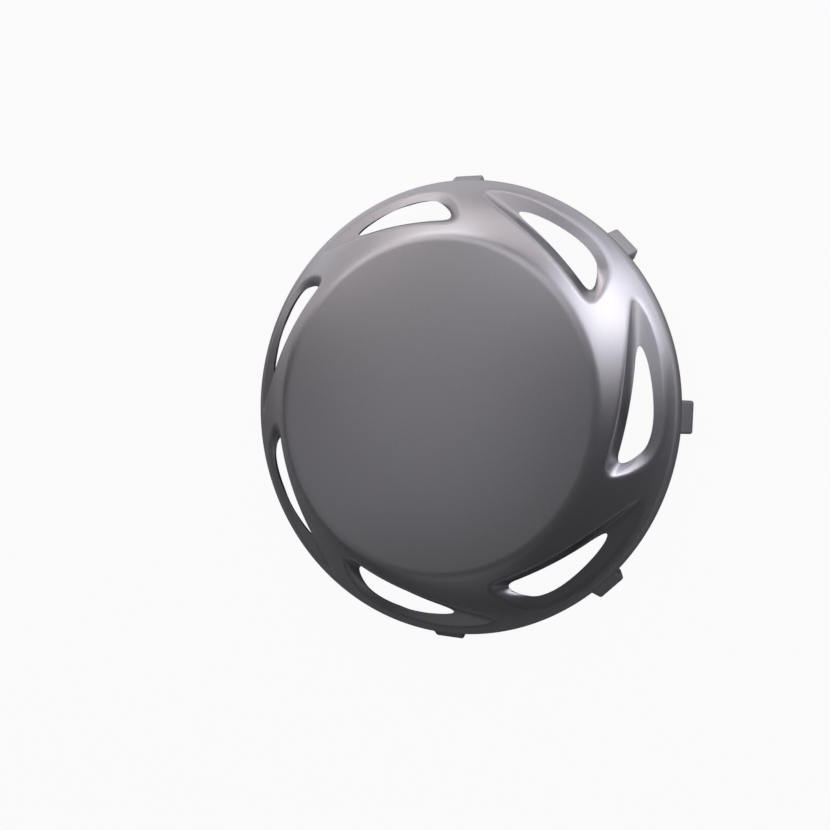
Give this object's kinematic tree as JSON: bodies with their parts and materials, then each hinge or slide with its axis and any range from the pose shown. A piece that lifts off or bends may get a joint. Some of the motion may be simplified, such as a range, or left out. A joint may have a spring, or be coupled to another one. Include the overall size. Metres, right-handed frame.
{
  "type": "wheel hub cover",
  "caption": "Domed plastic cover for a heavy vehicle wheel, with swept vent openings round its shoulder, that snaps into the centre bore of the wheel",
  "frame": {"origin": "on the axis of the cover, in the plane of the ends of the snap legs it rests on", "axes": "+Z out of the outer face of the dome along the axis, +X through the middle of a snap leg"},
  "size_m": [0.2874, 0.2874, 0.0532],
  "materials": {
    "cover_paint": "moulded plastic with a satin silver metallic coat"
  },
  "bodies": {
    "root": {"wheel_cover": "cover_paint"}
  },
  "joints": []
}
